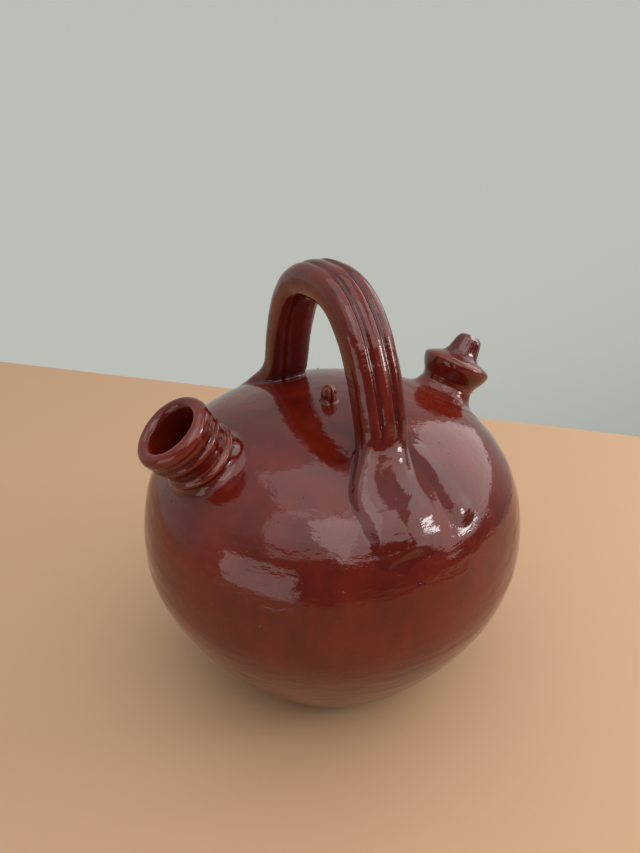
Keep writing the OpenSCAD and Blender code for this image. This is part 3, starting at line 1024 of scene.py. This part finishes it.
def capsule(p, a, b, r):
    """Distance outside a round-ended bar from a to b."""
    a, b = np.array(a, float), np.array(b, float)
    t = np.clip((p - a) @ (b - a) / ((b - a) @ (b - a)), 0, 1)
    return np.linalg.norm(p - a - t[:, None] * (b - a), axis=1) - r


def make_foot(name, side, drift, thumb, extra):
    foot = Foot(drift, thumb)

    def field(p):
        q = about_z(p, -HANDLE_TURN)
        q[:, 1] *= side
        globe = globe_field(p)
        clay, along = foot.field(q)
        lobe = extra(p)
        reach = np.minimum(clay, lobe)
        crease = CREASE + (TAIL_CREASE - CREASE) * ease((along - 0.55) / 0.4)
        skin = blended(globe + TUCK + EDGE_DIVE * ease((reach - SMEAR_REACH) / EDGE_RUN), clay, crease)
        skin = blended(skin, lobe, 5)
        above = (q - np.array([0, *foot.line[0]])) @ np.array([0, *foot.way[0]])
        return np.maximum.reduce([skin, -(globe + KEPT_UNDER), -above, reach - SMEAR_REACH - 3.5])

    low = (-50, 28 if side > 0 else -112, 110)
    high = (44, 112 if side > 0 else -28, 208)
    make_net(name, field, low, high, 0.6, strap_glaze)


def on_globe(x, y, sunk):
    """The point of the shoulder over x and y, moved inwards."""
    r = math.hypot(x, y)
    slope = (shoulder_height(r + 0.5) - shoulder_height(r - 0.5))
    out = unit(np.array([-slope * x / r, -slope * y / r, 1]))
    return np.array([x, y, shoulder_height(r)]) - out * sunk


LOBE_R = 9


def front_lobe(p):
    """The second, shallow smear beside the front foot's tail, to the spout's side."""
    return capsule(p, on_globe(12, -58, LOBE_R + 0.5), on_globe(15, -90, LOBE_R + 0.2), LOBE_R)


def back_lobe(p):
    """The back foot's smear is broad and low."""
    return capsule(p, on_globe(6, 64, LOBE_R + 0.6), on_globe(8, 86, LOBE_R + 0.6), LOBE_R)


def make_net(name, field, low, high, cell, look):
    points, quads = surface_net(field, np.array(low, float), np.array(high, float), cell)
    clay_piece(name, points, quads, look)


def make_handle():
    sizes = {"First angle": FOOT_A, "Half span": HALF_SPAN * MM, "Spring": SPRING_Z * MM,
             "Rise": ARCH_RISE * MM, "Squareness": HANDLE_SQUARE, "Width": STRAP_W * MM,
             "Thickness": STRAP_T * MM, "Rib depth": RIB_DEPTH * MM, "Rib place": RIB_PLACE,
             "Rib width": RIB_WIDTH, "Section squareness": STRAP_SQUARE, "End dive": SLEEVE_DIVE * MM}
    points, quads = formula_piece("handle", 300, 121, sizes, strap_formula, strap_glaze)
    clay_piece("handle", about_z(points, HANDLE_TURN), quads, strap_glaze)


def make_knob():
    sizes = {"Radius": KNOB_R * MM, "Ring radius": KNOB_RING_R * MM, "Ring thickness": KNOB_RING_T * MM,
             "Height": KNOB_H * MM, "Crown": CROWN_Z * MM, "Flutes": FLUTES, "Flute depth": FLUTE_DEPTH * MM}
    points, quads = formula_piece("crown_knob", 90, 145, sizes, knob_formula, body_glaze)
    clay_piece("crown_knob", points, quads, body_glaze)


def make_drops():
    """Beads of glaze that dried on the shoulder, strewn over it by Geometry Nodes."""
    sizes = {"Per square metre": 260.0, "Smallest": 0.35 * MM, "Largest": 1.2 * MM, "Flatness": 0.45,
             "Lowest": 104 * MM}
    tree, start, terms, place = new_tree("glaze_drops", sizes)
    high = place[2].made("GREATER_THAN", place[2], terms["Lowest"])
    strew = new_node(tree, "GeometryNodeDistributePointsOnFaces",
                     {"Mesh": start.outputs["Geometry"], "Selection": high,
                      "Density": terms["Per square metre"], "Seed": 7})
    bead = new_node(tree, "GeometryNodeMeshUVSphere", {"Segments": 24, "Rings": 14, "Radius": 1})
    chance = tree.nodes.new("FunctionNodeRandomValue")
    chance.data_type = "FLOAT"
    chance.inputs["Seed"].default_value = 3
    share = Term(tree, chance.outputs[1])
    across = terms["Smallest"] + (terms["Largest"] - terms["Smallest"]) * share * share
    spread = new_node(tree, "ShaderNodeCombineXYZ", {0: across, 1: across, 2: across * terms["Flatness"]})
    put = new_node(tree, "GeometryNodeInstanceOnPoints",
                   {"Points": strew.outputs["Points"], "Rotation": strew.outputs["Rotation"],
                    "Instance": bead.outputs["Mesh"], "Scale": spread.outputs[0]})
    end_tree(tree, put.outputs["Instances"], body_glaze)
    points, quads = globe_skin(3, 120)
    globe = bpy.data.meshes.new("drops_host")
    globe.from_pydata((points * MM).tolist(), [], polygons(quads))
    points, quads = grown(globe, tree, sizes)
    drops = clay_mesh("glaze_drops", points, quads, body_glaze, even=True)
    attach(drops, "root")


# Stage, light and camera

def make_floor():
    """A plain pale table top, which ends behind the jug along the photograph's line."""
    a = math.radians(50)
    out, along = Vector((math.sin(a), math.cos(a), 0)), Vector((math.cos(a), -math.sin(a), 0))
    corners = ((-1.2, -1), (1.2, -1), (1.2, 0.34), (-1.2, 0.34))
    mesh = bpy.data.meshes.new("floor")
    mesh.from_pydata([along * x + out * y for x, y in corners], [], [(0, 1, 2, 3)])
    mesh.materials.append(Shade("pale_floor").finished((0.50, 0.32, 0.185, 1), 0.6))
    new_object("floor", mesh)


def softbox(name, azimuth, elevation, distance, width, height, glow, colour):
    """A lit panel that faces the jug and glows evenly. Azimuth 0 is +Y and 90 is +X."""
    data = bpy.data.lights.new(name, "AREA")
    data.shape = "RECTANGLE"
    data.size, data.size_y = width, height
    data.energy = glow * math.pi * width * height
    data.color = colour
    lamp = new_object(name, data)
    a, e = math.radians(azimuth), math.radians(elevation)
    way = Vector((math.sin(a) * math.cos(e), math.cos(a) * math.cos(e), math.sin(e)))
    lamp.location = Vector((0, 0, 0.12)) + way * distance
    lamp.rotation_euler = way.to_track_quat("Z", "Y").to_euler()
    lamp.visible_camera = False


LOW_WALL, WALL, CEILING = (0.50, 0.52, 0.48), (0.50, 0.50, 0.48), (0.70, 0.70, 0.71)


def make_world():
    """A room: a pale wall behind the jug, a brighter ceiling, and dusk on the camera's side."""
    world = bpy.data.worlds.new("room")
    bpy.context.scene.world = world
    world.use_nodes = True
    tree = world.node_tree
    way = tree.nodes.new("ShaderNodeTexCoord").outputs["Generated"]
    height = new_node(tree, "ShaderNodeSeparateXYZ", {0: way}).outputs["Z"]
    tint = ramp(tree, height, [(0.0, LOW_WALL), (0.5, WALL), (0.85, CEILING)])
    facing = new_node(tree, "ShaderNodeVectorMath", {0: way, 1: (0.20, 0.72, 0.66)})
    facing.operation = "DOT_PRODUCT"
    side = new_node(tree, "ShaderNodeMapRange", {"Value": facing.outputs["Value"], "From Min": -0.35,
                                                 "From Max": 0.45, "To Min": 0.26})
    side.interpolation_type = "SMOOTHSTEP"
    back = tree.nodes["Background"]
    give(tree, back.inputs["Color"], tint)
    give(tree, back.inputs["Strength"], side.outputs["Result"])


# Panels of light: azimuth and elevation in degrees, distance, width and height in metres, glow, colour
WARM, WHITE = (1.0, 0.89, 0.85), (1, 1, 1)
PANELS = {"window": (108, 28, 1.5, 2.6, 1.1, 1.7, WARM), "window_gap": (130, 20, 1.3, 0.30, 0.22, 13.0, WHITE),
          "ceiling": (20, 84, 1.6, 1.2, 1.2, 0.9, WARM), "room_behind": (184, 52, 1.5, 1.2, 1.2, 1.8, WARM),
          "side_room": (-132, 56, 1.5, 1.1, 1.1, 0.8, WARM),
          "low_window": (-108, 4, 1.6, 1.3, 0.75, 1.4, WARM)}


# The photograph's camera: place in millimetres, turns in degrees, focal length in its pixels
CAMERA_AT = (-176, -274, 333)
YAW, PITCH, ROLL = -31.8, 28.3, -1.5
FOCAL_PIXELS, PICTURE_H, SENSOR = 660, 853, 36


def make_camera():
    yaw, pitch, roll = (math.radians(a) for a in (YAW, PITCH, ROLL))
    ahead = Vector((-math.sin(yaw) * math.cos(pitch), math.cos(yaw) * math.cos(pitch), -math.sin(pitch)))
    level = Vector((math.cos(yaw), math.sin(yaw), 0))
    above = level.cross(ahead)
    right = level * math.cos(roll) + above * math.sin(roll)
    up = above * math.cos(roll) - level * math.sin(roll)
    data = bpy.data.cameras.new("camera")
    data.sensor_width = SENSOR
    data.lens = FOCAL_PIXELS / PICTURE_H * SENSOR
    data.clip_start = 0.01
    camera = new_object("camera", data)
    turn = Matrix((right, up, -ahead)).transposed().to_4x4()
    camera.matrix_world = Matrix.Translation(Vector(CAMERA_AT) * MM) @ turn
    bpy.context.scene.camera = camera


make_camera()
make_body()
make_lathe("filling_mouth", mouth_neck, mouth_outline(), 300, mouth_wobble, neck_glaze)
make_lathe("drinking_spout", spout_neck, spout_outline(), 300, spout_wobble, neck_glaze,
           tip_wear)
make_coil("mouth_luting_coil", mouth_neck, mouth_section, mouth_smear, 25.5, 8.6,
          (-108, -33, 126), (-42, 33, 182), 0.75)
make_coil("spout_luting_coil", spout_neck, spout_section, spout_smear, 34, 9.5,
          (44, -41, 106), (114, 41, 182), 0.8)
make_handle()
make_foot("front_handle_foot", -1, FRONT_DRIFT, 0.8, front_lobe)
make_foot("back_handle_foot", 1, BACK_DRIFT, 0.5, back_lobe)
make_knob()
make_drops()
make_floor()
for panel, sizes in PANELS.items():
    softbox(panel, *sizes)
make_world()
bpy.context.scene.view_settings.view_transform = "Standard"
